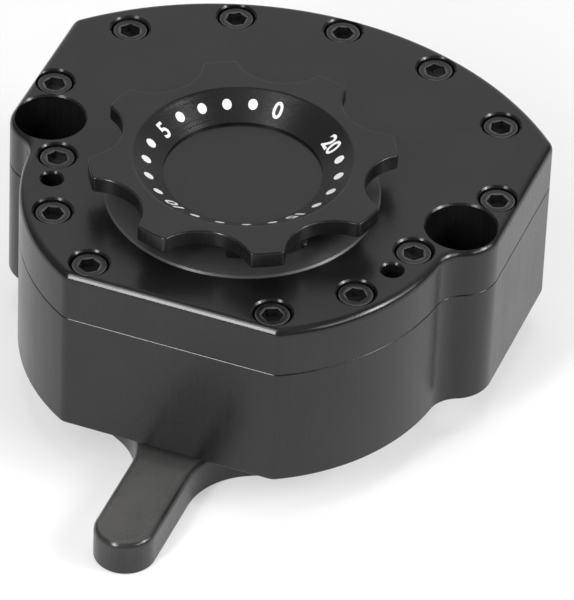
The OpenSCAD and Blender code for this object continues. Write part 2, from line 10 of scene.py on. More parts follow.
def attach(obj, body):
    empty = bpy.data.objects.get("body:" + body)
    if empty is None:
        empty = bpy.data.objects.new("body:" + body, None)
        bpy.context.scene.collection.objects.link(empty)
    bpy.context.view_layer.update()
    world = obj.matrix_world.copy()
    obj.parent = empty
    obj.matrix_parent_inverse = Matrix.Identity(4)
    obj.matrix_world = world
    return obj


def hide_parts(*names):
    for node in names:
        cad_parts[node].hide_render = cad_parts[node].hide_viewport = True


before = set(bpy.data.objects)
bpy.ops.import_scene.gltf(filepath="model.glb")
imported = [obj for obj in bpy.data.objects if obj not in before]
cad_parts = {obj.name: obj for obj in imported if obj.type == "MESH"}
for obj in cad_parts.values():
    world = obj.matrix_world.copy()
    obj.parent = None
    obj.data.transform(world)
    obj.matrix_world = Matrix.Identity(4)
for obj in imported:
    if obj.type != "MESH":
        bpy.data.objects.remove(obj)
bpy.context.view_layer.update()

MM = 0.001
SHAFT_Y = -6.5  # the shaft's place in front of the mounting holes; shapes below are centred on it

# Heights above the mounting face, in millimetres
SPLIT = 26.6
TOP = 37.5
FLOOR = 11.0
ARM_TOP = -1.8
ARM_BOTTOM = -9.4
DIAL_TOP = 46.1
DIAL_RIM = 42.6
DIAL_HUB = 38.2

# Body outline
HALF_W = 51.3
FRONT_R = 43.6
FRONT_FLAT = 37.6
HOLE = Vector((43.3, 6.5))
EAR_R = 8.0
HOLLOW_R = 6.4
BACK_R = 70.0
BACK_Y = 60.8
CORNER_R = 3.0
FRONT_CORNER_R = 3.0
HOLE_CHAMFER = 0.35

# Holes of the cover and the housing: rings about the shaft, angles, radii and depths
FRONT_RING, FRONT_START, FRONT_STEP = 37.6, -6.4, 26.7
BACK_RING, BACK_STEP = 56.1, 22.5
SIDE_SCREW = Vector((46.9, 17.5))
TAP_RING, TAP_ANGLE = 37.3, -17.8
DOWEL_ANGLE, DOWEL_HOLE_R = -46.45, 2.02
SCREW_SEAT, COUNTERBORE_R = TOP - 4.5, 3.85
WELL_R = 7
OIL_HOLE = (0, 39)
BUSH_R, THRUST_R, THRUST_DEPTH = 11.02, 12.72, 0.7
WASHER_BOTTOM, WASHER_TOP = -6.8, -5.6

# Dial, its plate, detent and stop
STEP = 360 / 23  # angle between two settings
SETTINGS, NUMBER_EVERY = 21, 5
DOTS_R, NUMBERS_R, MARKS_START = 18.87, 18.6, 89.7  # rings and first angle of the printed marks
DOT_R, NUMBER_SIZE, NUMBER_SWELL = 0.94, 4.05, 0.09
PLATE_R, PLATE_SINK = 27.2, 1
DETENT_RING, DETENT_BORE_R, SPRING_FLOOR = 14.5, 2.05, 29.3
STOP_RING, STOP_ANGLE = 20.5, -33.7
STOP_PIN_R, STOP_HOLE_R, STOP_DEPTH = 1.2, 1.22, 5


def polar(radius, degrees):
    a = math.radians(degrees)
    return Vector((radius * math.cos(a), radius * math.sin(a)))


def heading(v):
    return math.degrees(math.atan2(v.y, v.x))


def at(p, z=0.0):
    """A shaft-centred point in millimetres, as a place in the frame."""
    return Vector((p[0], p[1] + SHAFT_Y, z)) * MM


def left_and_right(*points):
    """The points' mirror images, then the points."""
    return [Vector((side * p.x, p.y)) for side in (-1, 1) for p in points]


SCREWS = (
    left_and_right(*(polar(FRONT_RING, FRONT_START - FRONT_STEP * k) for k in range(3)))
    + [polar(BACK_RING, 90 + BACK_STEP * k) for k in range(-2, 3)]
    + left_and_right(SIDE_SCREW)
)
TAPS = left_and_right(polar(TAP_RING, TAP_ANGLE))
WELLS = left_and_right(HOLE)
DOWELS = left_and_right(polar(FRONT_RING, DOWEL_ANGLE))
STOP_PIN = polar(STOP_RING, STOP_ANGLE)


# Mesh building

HAIR = 0.015  # how far the shells stay inside the CAD's facets


def ahead(start, angle):
    """The same angle within the full turn that begins at the start."""
    return start + (angle - start) % 360


def outline(arcs, inset):
    """Points along a closed chain of arcs, drawn in by the inset.

    An arc is its centre, radius, start, end and number of steps; one that runs clockwise is hollow.
    """
    points = []
    for centre, radius, start, end, steps in arcs:
        r = radius + inset if end < start else radius - inset
        points += [Vector(centre) + polar(r, start + (end - start) * k / steps) for k in range(steps + 1)]
    return [p for p, before in zip(points, points[-1:] + points) if (p - before).length > 1e-4]


def both_sides(arcs):
    """The arcs of a right half, from front to back, and their mirror images."""
    return arcs + [
        ((-centre[0], centre[1]), radius, 180 - end, 180 - start, steps)
        for centre, radius, start, end, steps in reversed(arcs)
    ]


def rounded(low, high, low_r, high_r, steps=6):
    """Levels, as (inset, height), up a wall whose lower and upper edges are rounded."""
    quarter = [math.pi / 2 * k / steps for k in range(steps + 1)]
    return [(low_r * (1 - math.sin(a)), low + low_r * (1 - math.cos(a))) for a in quarter] + [
        (high_r * (1 - math.cos(a)), high - high_r * (1 - math.sin(a))) for a in quarter
    ]


def block(arcs, levels):
    """Closed solid through the outline at each level, a hair inside the CAD's facets."""
    bm = bmesh.new()
    rings = [[bm.verts.new(at(p, z)) for p in outline(arcs, inset + HAIR)] for inset, z in levels]
    for low, high in zip(rings, rings[1:]):
        for k in range(len(low)):
            bm.faces.new((low[k - 1], low[k], high[k], high[k - 1]))
    bm.faces.new(rings[0])
    bm.faces.new(rings[-1])
    bmesh.ops.recalc_face_normals(bm, faces=bm.faces[:])
    return bm


def turned(bm, profile, centre=(0, 0), steps=48):
    """Body of revolution from (radius, height) pairs that start and end on the axis."""
    verts = [bm.verts.new(at((centre[0] + r, centre[1]), z)) for r, z in profile]
    edges = [bm.edges.new(pair) for pair in zip(verts, verts[1:])]
    bmesh.ops.spin(
        bm,
        geom=verts + edges,
        cent=at(centre),
        axis=(0, 0, 1),
        angle=2 * math.pi,
        steps=steps,
        use_merge=True,
    )
    bmesh.ops.remove_doubles(bm, verts=bm.verts[:], dist=1e-7)
    bmesh.ops.recalc_face_normals(bm, faces=bm.faces[:])


def drill(bm, radius, low, high, spot=(0, 0), steps=48):
    """Plain upright cylinder."""
    turned(bm, [(0, low), (radius, low), (radius, high), (0, high)], spot, steps)


def mesh_object(name, bm):
    mesh = bpy.data.meshes.new(name)
    bm.to_mesh(mesh)
    bm.free()
    obj = bpy.data.objects.new(name, mesh)
    bpy.context.scene.collection.objects.link(obj)
    return obj


def baked(obj):
    """The object's mesh with its modifiers worked in."""
    graph = bpy.context.evaluated_depsgraph_get()
    mesh = bpy.data.meshes.new_from_object(obj.evaluated_get(graph))
    obj.modifiers.clear()
    obj.data = mesh


def combine(obj, other_bm, operation):
    other = mesh_object("other_shape", other_bm)
    step = obj.modifiers.new("step", "BOOLEAN")
    step.operation = operation
    step.solver = "EXACT"
    step.object = other
    baked(obj)
    bpy.data.objects.remove(other)


def cut_away(obj, other_bm):
    combine(obj, other_bm, "DIFFERENCE")


def join_on(obj, other_bm):
    combine(obj, other_bm, "UNION")


def dress(obj, body, finish, stands_for=(), crisp=32):
    """Smooth shading, finish and body of a finished piece, with the CAD nodes it stands for hidden."""
    obj.data.materials.clear()
    obj.data.materials.append(finish)
    obj.data.polygons.foreach_set("material_index", [0] * len(obj.data.polygons))
    obj.data.polygons.foreach_set("use_smooth", [True] * len(obj.data.polygons))
    obj.data.set_sharp_from_angle(angle=math.radians(crisp))
    even = obj.modifiers.new("even_normals", "WEIGHTED_NORMAL")
    even.keep_sharp = True
    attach(obj, body)
    if stands_for:
        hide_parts(*stands_for)


# Finishes

GRAIN_DEPTH, SCRATCH_DEPTH = 0.00002, 0.00001  # metres


class Socket:
    """An output of a shader tree, with arithmetic on it."""

    def __init__(self, tree, out):
        self.tree = tree
        self.out = out

    def make(self, kind, inputs=(), out=0, **settings):
        """Adds a node to the tree; inputs pairs socket names or numbers with values or sockets."""
        node = self.tree.nodes.new(kind)
        for key, value in settings.items():
            setattr(node, key, value)
        for key, value in inputs:
            if isinstance(value, Socket):
                self.tree.links.new(value.out, node.inputs[key])
            else:
                node.inputs[key].default_value = value
        return Socket(self.tree, node.outputs[out])

    def calc(self, operation, other=0.0):
        return self.make("ShaderNodeMath", [(0, self), (1, other)], operation=operation)

    def __add__(self, other):
        return self.calc("ADD", other)

    def __sub__(self, other):
        return self.calc("SUBTRACT", other)

    def __mul__(self, other):
        return self.calc("MULTIPLY", other)

    def ramp(self, low, high, to_low=0.0, to_high=1.0):
        """Smooth step from one range to another."""
        return self.make(
            "ShaderNodeMapRange",
            [
                ("Value", self),
                ("From Min", low),
                ("From Max", high),
                ("To Min", to_low),
                ("To Max", to_high),
            ],
            interpolation_type="SMOOTHSTEP",
        )

    def noise(self, scale, detail, stretch=(1, 1, 1)):
        placed = self.make("ShaderNodeMapping", [("Vector", self), ("Scale", stretch)])
        return self.make("ShaderNodeTexNoise", [("Vector", placed), ("Scale", scale), ("Detail", detail)])

    def blend(self, dark, light):
        """Colour between two, by this amount."""
        return self.make(
            "ShaderNodeMix",
            [(0, self), (6, (*dark, 1.0)), (7, (*light, 1.0))],
            out=2,
            data_type="RGBA",
            clamp_factor=False,
        )

    def bump(self, strength, distance):
        """Surface direction bent by this height; the distance is in metres."""
        return self.make(
            "ShaderNodeBump", [("Height", self), ("Strength", strength), ("Distance", distance)]
        )


def start_finish(name):
    """A new material, its shader node and its object coordinates."""
    material = bpy.data.materials.new(name)
    material.use_nodes = True
    tree = material.node_tree
    shader = tree.nodes["Principled BSDF"]
    root = Socket(tree, None)
    place = root.make("ShaderNodeTexCoord", out="Object")
    return material, shader, place


def steepness(place):
    """0 on walls, 1 on level faces."""
    direction = place.make("ShaderNodeNewGeometry", out="Normal")
    return place.make("ShaderNodeSeparateXYZ", [(0, direction)], out="Z").calc("ABSOLUTE")


def turning_rings(place):
    """Fine rings round the shaft's axis, as a lathe leaves them."""
    centred = place.make("ShaderNodeVectorMath", [(0, place), (1, (0, -SHAFT_Y * MM, 0))], operation="ADD")
    flat = place.make("ShaderNodeVectorMath", [(0, centred), (1, (1, 1, 0))], operation="MULTIPLY")
    radius = place.make("ShaderNodeVectorMath", [(0, flat)], out="Value", operation="LENGTH")
    return place.make(
        "ShaderNodeTexNoise", [("W", radius), ("Scale", 9000.0), ("Detail", 2.0)], noise_dimensions="1D"
    )


def join(shader, **sockets):
    for key, value in sockets.items():
        name = key.replace("_", " ")
        value.tree.links.new(value.out, shader.inputs[name])


def anodised(name, dark, light, rough, grain=1.0, tool_marks=0.5, rings=0.0, side_shade=0.0):
    """Black anodised aluminium: blasted grain, cloudy dye, tool marks down the walls, smoother cut edges.

    Rings are a lathe's, strongest on the dish's slope; a painted shade can make walls and edges darker than
    level faces.
    """
    material, shader, place = start_finish(name)
    cloud = place.noise(90.0, 4.0)
    blast = place.noise(5200.0, 2.0)
    marks = place.noise(1.0, 3.0, (1500.0, 1500.0, 12.0))
    steep = steepness(place)
    wall = steep.ramp(0.15, 0.5, 1.0, 0.0)
    cut_edge = steep.ramp(0.2, 0.4) * steep.ramp(0.92, 0.99, 1.0, 0.0)
    dish_slope = steep.ramp(0.79, 0.81) * steep.ramp(0.85, 0.87, 1.0, 0.0)
    streak = (marks - 0.5) * wall * tool_marks
    tone = cloud * 0.6 + blast * 0.4 + streak * 0.5
    # Painted shade: walls and rounded edges are coloured darker than level faces.
    side_shade_mask = steep.ramp(0.8, 0.95, 1.0, 0.0)
    join(shader, Base_Color=(tone.ramp(0.3, 0.75) - side_shade_mask * side_shade).blend(dark, light))
    uneven = (cloud - 0.5) * 0.12 + (blast - 0.5) * 0.1 + streak * 0.3
    join(shader, Roughness=uneven - (cut_edge - dish_slope) * 0.09 + rough)
    ring_depth = (dish_slope * 11.0 - wall + 1.0) * rings
    relief = blast * grain + streak * 1.5 + turning_rings(place) * ring_depth
    join(shader, Normal=relief.bump(0.2, GRAIN_DEPTH))
    shader.inputs["Specular IOR Level"].default_value = 0.48
    return material


def metal(name, dark, light, rough, metallic=1.0, edge_lightening=0.0):
    """Turned or ground metal with fine scratches, and tilted faces and edges lighter in colour."""
    material, shader, place = start_finish(name)
    lines = place.noise(1.0, 3.0, (600.0, 600.0, 9000.0))
    cloud = place.noise(260.0, 3.0)
    steep = steepness(place)
    # tilted faces and edges made lighter in colour, patchy
    edge = steep.ramp(0.6, 0.8) * steep.ramp(0.96, 0.985, 1.0, 0.0) * cloud.ramp(0.3, 0.6, 0.5, 1.0)
    tone = (lines * 0.6 + cloud * 0.4).ramp(0.3, 0.7)
    join(shader, Base_Color=(tone + edge * edge_lightening).blend(dark, light))
    join(shader, Roughness=(lines - 0.5) * 0.2 + (cloud - 0.5) * 0.1 + rough)
    join(shader, Normal=lines.bump(0.2, SCRATCH_DEPTH))
    shader.inputs["Metallic"].default_value = metallic
    shader.inputs["Specular IOR Level"].default_value = 0.42
    return material


def rubber(name):
    """Matt rubber with a faint bloom and a fine grain."""
    material, shader, place = start_finish(name)
    bloom = place.noise(300.0, 4.0)
    grain = place.noise(6000.0, 2.0)
    join(shader, Base_Color=bloom.ramp(0.3, 0.7).blend((0.012, 0.012, 0.012), (0.03, 0.03, 0.031)))
    join(shader, Roughness=(bloom - 0.5) * 0.2 + 0.62)
    join(shader, Normal=grain.bump(0.3, GRAIN_DEPTH))
    return material


def print_ink(name):
    """White ink with a slightly uneven film."""
    material, shader, place = start_finish(name)
    film = place.noise(2600.0, 3.0)
    join(shader, Base_Color=film.ramp(0.25, 0.6).blend((0.88, 0.88, 0.87), (0.96, 0.96, 0.95)))
    join(shader, Roughness=(film - 0.5) * 0.2 + 0.5)
    return material


BODY = anodised("black_anodised_body", (0.005, 0.005, 0.0051), (0.011, 0.011, 0.0111), rough=0.28)
DIAL = anodised(
    "black_anodised_dial",
    (0.0052, 0.0052, 0.0053),
    (0.0108, 0.0108, 0.0109),
    rough=0.28,
    grain=0.7,
    tool_marks=0.2,
    rings=0.8,
)
PLATE = anodised(
    "black_anodised_plate",
    (0.05, 0.05, 0.05),
    (0.075, 0.075, 0.075),
    rough=0.4,
    grain=0.7,
    tool_marks=0.2,
    rings=0.5,
)
ARM = anodised(
    "black_anodised_arm",
    (0.06, 0.0592, 0.0575),
    (0.092, 0.0905, 0.088),
    rough=0.28,
    grain=1.2,
    tool_marks=0.4,
    # painted shade on the arm's walls and rounded edges
    side_shade=1.45,
)
OXIDE = metal(
    "black_oxide_steel",
    (0.006, 0.006, 0.0063),
    (0.016, 0.016, 0.017),
    rough=0.28,
    metallic=0.0,
    edge_lightening=6.0,
)
STEEL = metal("ground_steel", (0.42, 0.42, 0.43), (0.62, 0.62, 0.63), rough=0.28)
BRONZE = metal("turned_bronze", (0.42, 0.27, 0.1), (0.6, 0.42, 0.18), rough=0.32)
RUBBER = rubber("seal_rubber")
INK = print_ink("white_ink")


# Housing and cover


def body_arcs():
    """The outline that the housing and the cover share."""
    reach = FRONT_R + HOLLOW_R
    ear_reach = EAR_R + HOLLOW_R
    between = math.degrees(
        math.acos((HOLE.length_squared + reach**2 - ear_reach**2) / (2 * HOLE.length * reach))
    )
    turn = heading(HOLE) - between
    hollow = polar(reach, turn)
    to_ear = heading(HOLE - hollow)
    front_corner = Vector((0, FRONT_CORNER_R - FRONT_FLAT))
    front_corner.x = math.sqrt((FRONT_R - FRONT_CORNER_R) ** 2 - front_corner.y**2)
    to_front = heading(front_corner)
    back_centre = Vector((0, BACK_Y - BACK_R))
    corner = Vector((HALF_W - CORNER_R, 0))
    corner.y = back_centre.y + math.sqrt((BACK_R - CORNER_R) ** 2 - corner.x**2)
    to_corner = heading(corner - back_centre)
    return both_sides(
        [
            (front_corner, FRONT_CORNER_R, -90, to_front, 5),
            ((0, 0), FRONT_R, to_front, turn, 36),
            (hollow, HOLLOW_R, turn + 180, to_ear, 10),
            (HOLE, EAR_R, to_ear - 180, 0, 16),
            (corner, CORNER_R, 0, to_corner, 8),
            (back_centre, BACK_R, to_corner, 90, 30),
        ]
    )


def cover():
    """Upper shell with its screw, bolt, tapped and dowel holes, the shaft's bore and the plate's seat."""
    edge_r, foot_r = 1.7, 0.3
    shell = mesh_object("cover_shell", block(body_arcs(), rounded(SPLIT, TOP, foot_r, edge_r)))
    over, below = TOP + 0.05, SPLIT - 0.6
    shank_r, tap_r, tap_end, dowel_end = 2.25, 2.1, TOP - 8, SPLIT + 6
    stem_r, thrust_top, bush_top = 4.05, SPLIT + THRUST_DEPTH, SPLIT + 5.4
    plate_r, plate_seat = PLATE_R + 0.02, TOP - PLATE_SINK

    def mouth(radius):
        """Chamfered upper end of a hole, as the last points of its profile."""
        return [(radius, TOP - HOLE_CHAMFER), (radius + HOLE_CHAMFER + over - TOP, over), (0, over)]

    cuts = bmesh.new()
    for spot in SCREWS:
        shank = [(0, below), (shank_r, below), (shank_r, SCREW_SEAT), (COUNTERBORE_R, SCREW_SEAT)]
        turned(cuts, [*shank, *mouth(COUNTERBORE_R)], spot)
    for spot in WELLS:
        turned(cuts, [(0, below), (WELL_R, below), *mouth(WELL_R)], spot, 72)
    for spot in TAPS:
        turned(cuts, [(0, tap_end), (tap_r, tap_end), *mouth(tap_r)], spot)
    for spot in DOWELS:
        drill(cuts, DOWEL_HOLE_R, below, dowel_end, spot, 24)
    turned(
        cuts,
        [
            (0, below),
            (THRUST_R, below),
            (THRUST_R, thrust_top),
            (BUSH_R, thrust_top),
            (BUSH_R, bush_top),
            (stem_r, bush_top),
            (stem_r, plate_seat),
            (plate_r, plate_seat),
            (plate_r, over),
            (0, over),
        ],
        steps=120,
    )
    cut_away(shell, cuts)
    bores = bmesh.new()
    drill(bores, DETENT_BORE_R, SPRING_FLOOR, TOP, (0, DETENT_RING), 24)
    drill(bores, STOP_HOLE_R, TOP - STOP_DEPTH, TOP, STOP_PIN, 24)
    cut_away(shell, bores)
    dress(shell, "case", BODY, ["cover"])


def chamber_block(low, high):
    """The fan-shaped oil space that the wing sweeps, as a block."""
    chamber_r, hub_r, offset, swing = 45.0, 13.3, 4.5, 45.0

    def wall_angle(radius):
        return 90 - swing - math.degrees(math.asin(offset / radius))

    outer = wall_angle(chamber_r)
    inner = wall_angle(hub_r)
    arcs = [
        ((0, 0), chamber_r, outer, 180 - outer, 40),
        ((0, 0), hub_r, 180 - inner, 360 + inner, 40),
    ]
    return block(arcs, [(0, low), (0, high)])


def housing():
    """Lower shell with its bolt, screw and dowel holes, the oil space and the shaft's seats."""
    edge_r = 0.3
    shell = mesh_object("housing_shell", block(body_arcs(), rounded(0, SPLIT, edge_r, edge_r)))
    over, under, inside = SPLIT + 0.6, -1, FLOOR + 0.5
    bolt_r, well_floor, thread_r, thread_end, dowel_end = 4.5, 17, 2.05, 16.6, 20.58
    cuts = bmesh.new()
    for spot in WELLS:
        bolt = [(0, under), (bolt_r, under), (bolt_r, well_floor)]
        turned(cuts, [*bolt, (WELL_R, well_floor), (WELL_R, over), (0, over)], spot, 72)
    for spot in SCREWS:
        drill(cuts, thread_r, thread_end, over, spot, 24)
    for spot in DOWELS:
        drill(cuts, DOWEL_HOLE_R, dowel_end, over, spot, 24)
    cut_away(shell, cuts)
    cut_away(shell, chamber_block(FLOOR, over))
    seal_r, seal_top, clip_r, clip_low, clip_high = 14.02, 5.5, 15, 0.28, 1.32
    thrust_low = FLOOR - THRUST_DEPTH
    bores = bmesh.new()
    turned(
        bores,
        [
            (0, under),
            (seal_r, under),
            (seal_r, clip_low),
            (clip_r, clip_low),
            (clip_r, clip_high),
            (seal_r, clip_high),
            (seal_r, seal_top),
            (BUSH_R, seal_top),
            (BUSH_R, thrust_low),
            (THRUST_R, thrust_low),
            (THRUST_R, inside),
            (0, inside),
        ],
        steps=72,
    )
    head_r, head_top, plug_r = 5.25, 4.3, 3.05
    head = [(0, under), (head_r, under), (head_r, head_top)]
    turned(bores, [*head, (plug_r, head_top), (plug_r, inside), (0, inside)], OIL_HOLE)
    cut_away(shell, bores)
    dress(shell, "case", BODY, ["housing"])


# Fasteners


def key_socket(across, low, high):
    """Six-sided block on the shaft's axis."""
    return block([((0, 0), across / math.sqrt(3), 0, 360, 6)], [(0, low), (0, high)])


def socket_screw(name, thread_d, seat, tip, head_d, head_h, socket, up=1):
    """Cap screw on the shaft's axis, with a knurled head and a key socket.

    Up is -1 where the head faces down.
    """
    r, h, top = thread_d / 2, head_d / 2, seat + up * head_h
    knurl_low, knurl_high = seat + up * 0.2, top - up * 0.6
    tip_chamfer, foot_ease, knurl_depth, columns = 0.4, 0.15, 0.15, 80
    head_ease = ((0.06, 0.35), (0.2, 0.1), (0.4, 0.0))  # how far in and down the head's rounded edge lies
    bm = bmesh.new()
    turned(
        bm,
        [
            (0, tip),
            (r - tip_chamfer, tip),
            (r, tip + up * tip_chamfer),
            (r, seat),
            (h - foot_ease, seat),
            (h, knurl_low),
            (h, knurl_high),
            *((h - inwards, top - up * down) for inwards, down in head_ease),
            (0, top),
        ],
        steps=columns,
    )
    for v in bm.verts:
        p = Vector((v.co.x, v.co.y - SHAFT_Y * MM))
        if p.length > (h - 0.01) * MM and round(heading(p) * columns / 360) % 2:
            v.co.xy = at(p * (1 - knurl_depth / h) / MM).xy
    screw = mesh_object(name, bm)
    deep, high = sorted((top - up * head_h / 2, top + up))
    cut_away(screw, key_socket(socket, deep, high))
    wide, slope, over = socket * 0.655, 0.36, 0.05  # the countersink's radius and slope
    tip_z, over_z = top - up * wide * slope, top + up * over
    mouth = bmesh.new()
    turned(mouth, [(0, tip_z), (wide + over / slope, over_z), (0, over_z)])
    cut_away(screw, mouth)
    return screw


def spread(obj, spots, turns):
    """Copies the piece from the shaft's axis to each spot, turned about its own axis."""
    one = obj.data
    bm = bmesh.new()
    for spot, turn in zip(spots, turns):
        before = set(bm.verts)
        bm.from_mesh(one)
        new = [v for v in bm.verts if v not in before]
        bmesh.ops.rotate(bm, verts=new, cent=at((0, 0)), matrix=Matrix.Rotation(math.radians(turn), 3, "Z"))
        bmesh.ops.translate(bm, verts=new, vec=at(spot) - at((0, 0)))
    bm.to_mesh(one)
    bm.free()


def cover_screws():
    screws = socket_screw(
        "cover_screw_set", thread_d=4.0, seat=SCREW_SEAT, tip=17.6, head_d=7.1, head_h=4.0, socket=3.85
    )
    spread(screws, SCREWS, [17.0 * k for k in range(len(SCREWS))])
    dress(screws, "case", OXIDE, ["cover_screws"])


def underside_fasteners():
    """Oil plug, and the screw and washer that hold the arm."""
    low, high = WASHER_BOTTOM, WASHER_TOP
    head = {"thread_d": 6.0, "head_d": 10.0, "socket": 4.0, "up": -1}
    plug = socket_screw("oil_plug", seat=3.3, tip=10.7, head_h=3.0, **head)
    spread(plug, [OIL_HOLE], [12.0])
    dress(plug, "case", OXIDE, ["fill_plug"])
    clamp = socket_screw("arm_clamp_screw", seat=low, tip=8.2, head_h=2.3, **head)
    dress(clamp, "rotor", OXIDE, ["arm_screw"])
    r, ease, hole_r = 9.7, 0.2, 3.25
    bm = bmesh.new()
    wall = [(r - ease, low), (r, low + ease), (r, high - ease), (r - ease, high)]
    turned(bm, [(0, low), *wall, (0, high)], steps=72)
    washer = mesh_object("arm_clamp_washer", bm)
    hole = bmesh.new()
    drill(hole, hole_r, low - 1.2, high + 0.6)
    cut_away(washer, hole)
    dress(washer, "rotor", STEEL, ["arm_washer"])


# Steering arm


def steering_arm():
    """Tongue that flares into a hub, with a washer recess and a bore with two flats under it."""
    half, reach, hub_r, flare_r = 6.2, 64.9, 31.6, 14.5
    lower_edge_r, upper_edge_r = 0.4, 1.5
    recess_r, bore_r, flat_r, cutter = 9.95, 9.02, 7.02, 40
    flare = Vector((half + flare_r, 0))
    flare.y = -math.sqrt((hub_r + flare_r) ** 2 - flare.x**2)
    to_flare = heading(flare)
    arcs = both_sides(
        [
            ((0, half - reach), half, -90, 0, 15),
            (flare, flare_r, 180, to_flare + 180, 14),
            ((0, 0), hub_r, to_flare, 90, 60),
        ]
    )
    arm = mesh_object("swing_arm", block(arcs, rounded(ARM_BOTTOM, ARM_TOP, lower_edge_r, upper_edge_r)))
    recess = bmesh.new()
    drill(recess, recess_r, ARM_BOTTOM - 0.6, WASHER_TOP, steps=72)
    cut_away(arm, recess)
    bore = bmesh.new()
    drill(bore, bore_r, WASHER_BOTTOM - 0.2, 0, steps=72)
    seat = mesh_object("seat", bore)
    for side in (-1, 1):
        flat = bmesh.new()
        made = bmesh.ops.create_cube(flat, size=cutter * MM)
        bmesh.ops.translate(flat, verts=made["verts"], vec=at((0, side * (flat_r + cutter / 2))))
        cut_away(seat, flat)
    drive = bmesh.new()
    drive.from_mesh(seat.data)
    bpy.data.objects.remove(seat)
    cut_away(arm, drive)
    dress(arm, "rotor", ARM, ["steering_arm"])


# Dial


DISH_TOP_R, DISH_FLOOR_R = 21.75, 15.7
DISH_FLOOR, DISH_FOOT = DIAL_TOP - 4.6, DIAL_TOP - 4.1


def dish_height(radius):
    """Height of the dish's cone at a distance from the axis."""
    t = (radius - DISH_FLOOR_R) / (DISH_TOP_R - DISH_FLOOR_R)
    return DISH_FOOT + t * (DIAL_TOP - DISH_FOOT)


def dial_rim():
    """Lobed rim: eight lobes with scallops between them, corners and edges eased."""
    rim_r, scallop_r, centre_r, ease, lobes, first = 30.3, 9.9, 34.4, 0.9, 8, 30.2
    edge_r = 0.35
    ease_reach, scallop_reach = rim_r - ease, scallop_r + ease
    half_gap = math.degrees(
        math.acos((ease_reach**2 + centre_r**2 - scallop_reach**2) / (2 * ease_reach * centre_r))
    )
    arcs = []
    for k in range(lobes):
        lobe = first + 360 / lobes * k
        scallop = lobe + 180 / lobes
        centre = polar(centre_r, scallop)
        enter, leave = scallop - half_gap, scallop + half_gap
        enter_centre, leave_centre = polar(ease_reach, enter), polar(ease_reach, leave)
        turn_in = ahead(enter, heading(centre - enter_centre))
        turn_out = turn_in + 180 - ahead(0, turn_in - heading(centre - leave_centre))
        arcs += [
            ((0, 0), rim_r, 2 * lobe - enter, enter, 8),
            (enter_centre, ease, enter, turn_in, 5),
            (centre, scallop_r, turn_in + 180, turn_out, 16),
            (leave_centre, ease, ahead(turn_in, turn_out - 180), ahead(turn_in, leave), 5),
        ]
    return block(arcs, rounded(DIAL_RIM, DIAL_TOP, edge_r, edge_r, 4))


def stop_lug(hub_r):
    """Sector beside the hub that meets the stop pin at both ends of the dial's turn."""
    outer, start, angle, overlap = 21.9, -76.9, 39.44, 0.3
    inner = hub_r - 0.2
    arcs = [((0, 0), outer, start, start + angle, 14), ((0, 0), inner, start + angle, start, 14)]
    return block(arcs, [(0, DIAL_HUB), (0, DIAL_RIM + overlap)])


def dial():
    """Lobed knob on a hub: dish, stem bore, detent pockets and two grub screw holes."""
    knob = mesh_object("dial_body", dial_rim())
    hub_r, hub_ease, hub_top = 18.5, 0.3, DIAL_RIM + 0.5
    hub_wall = [(hub_r - hub_ease, DIAL_HUB), (hub_r, DIAL_HUB + hub_ease), (hub_r, hub_top)]
    hub = bmesh.new()
    turned(hub, [(0, DIAL_HUB), *hub_wall, (0, hub_top)], steps=96)
    join_on(knob, hub)
    join_on(knob, stop_lug(hub_r))
    lip, over = DISH_TOP_R - 0.25, DIAL_TOP + 0.5
    dish = bmesh.new()
    turned(
        dish,
        [
            (0, DISH_FLOOR),
            (DISH_FLOOR_R, DISH_FLOOR),
            (DISH_FLOOR_R, DISH_FOOT),
            (lip, dish_height(lip)),
            (DISH_TOP_R + 0.02, DIAL_TOP - 0.06),
            (DISH_TOP_R + 0.3, DIAL_TOP),
            (DISH_TOP_R + 0.4, over),
            (0, over),
        ],
        steps=144,
    )
    cut_away(knob, dish)
    stem_r, stem_top, pocket_r, pocket_z = 4.02, 41.02, 2.25, 36.7
    half_turn = [math.radians(a) for a in range(0, 181, 15)]
    pocket = [(pocket_r * math.sin(a), pocket_z - pocket_r * math.cos(a)) for a in half_turn]
    cuts = bmesh.new()
    drill(cuts, stem_r, TOP, stem_top)
    for k in range(SETTINGS):
        turned(cuts, pocket, polar(DETENT_RING, 90 + STEP * k), 16)
    cut_away(knob, cuts)
    grub_r, grub_length, grub_reach, grub_z = 1.05, 17, 12, DIAL_HUB + 1.5
    grub_holes = bmesh.new()
    for angle in (97.7, 187.7):
        outwards = Matrix.Rotation(math.radians(angle), 4, "Z") @ Matrix.Rotation(math.pi / 2, 4, "Y")
        middle = at(polar(grub_reach, angle), grub_z)
        bmesh.ops.create_cone(
            grub_holes,
            cap_ends=True,
            segments=24,
            radius1=grub_r * MM,
            radius2=grub_r * MM,
            depth=grub_length * MM,
            matrix=Matrix.Translation(middle) @ outwards,
        )
    cut_away(knob, grub_holes)
    dress(knob, "dial", DIAL, ["dial_knob"], crisp=28)


def dial_plate():
    """Round plate under the dial, and the pin that stops the dial."""
    low, high, r, ease, stem_r = TOP - PLATE_SINK, TOP + 0.4, PLATE_R, 0.35, 4.25
    bm = bmesh.new()
    turned(bm, [(0, low), (r, low), (r, high - ease), (r - ease, high), (0, high)], steps=144)
    plate = mesh_object("dial_base_plate", bm)
    cuts = bmesh.new()
    for radius, spot in ((stem_r, (0, 0)), (DETENT_BORE_R, (0, DETENT_RING)), (STOP_HOLE_R, STOP_PIN)):
        drill(cuts, radius, low - 1, high + 1, spot)
    cut_away(plate, cuts)
    dress(plate, "case", PLATE, ["dial_plate"])
    pin_r, pin_low, dome_z = STOP_PIN_R, TOP - STOP_DEPTH, TOP + 0.3
    quarter_turn = [math.radians(a) for a in range(0, 91, 15)]
    dome = [(pin_r * math.cos(a), dome_z + pin_r * math.sin(a)) for a in quarter_turn]
    pin = bmesh.new()
    turned(pin, [(0, pin_low), (pin_r, pin_low), *dome], STOP_PIN, 32)
    dress(mesh_object("stop_pin", pin), "case", OXIDE, ["dial_stop_pin"])


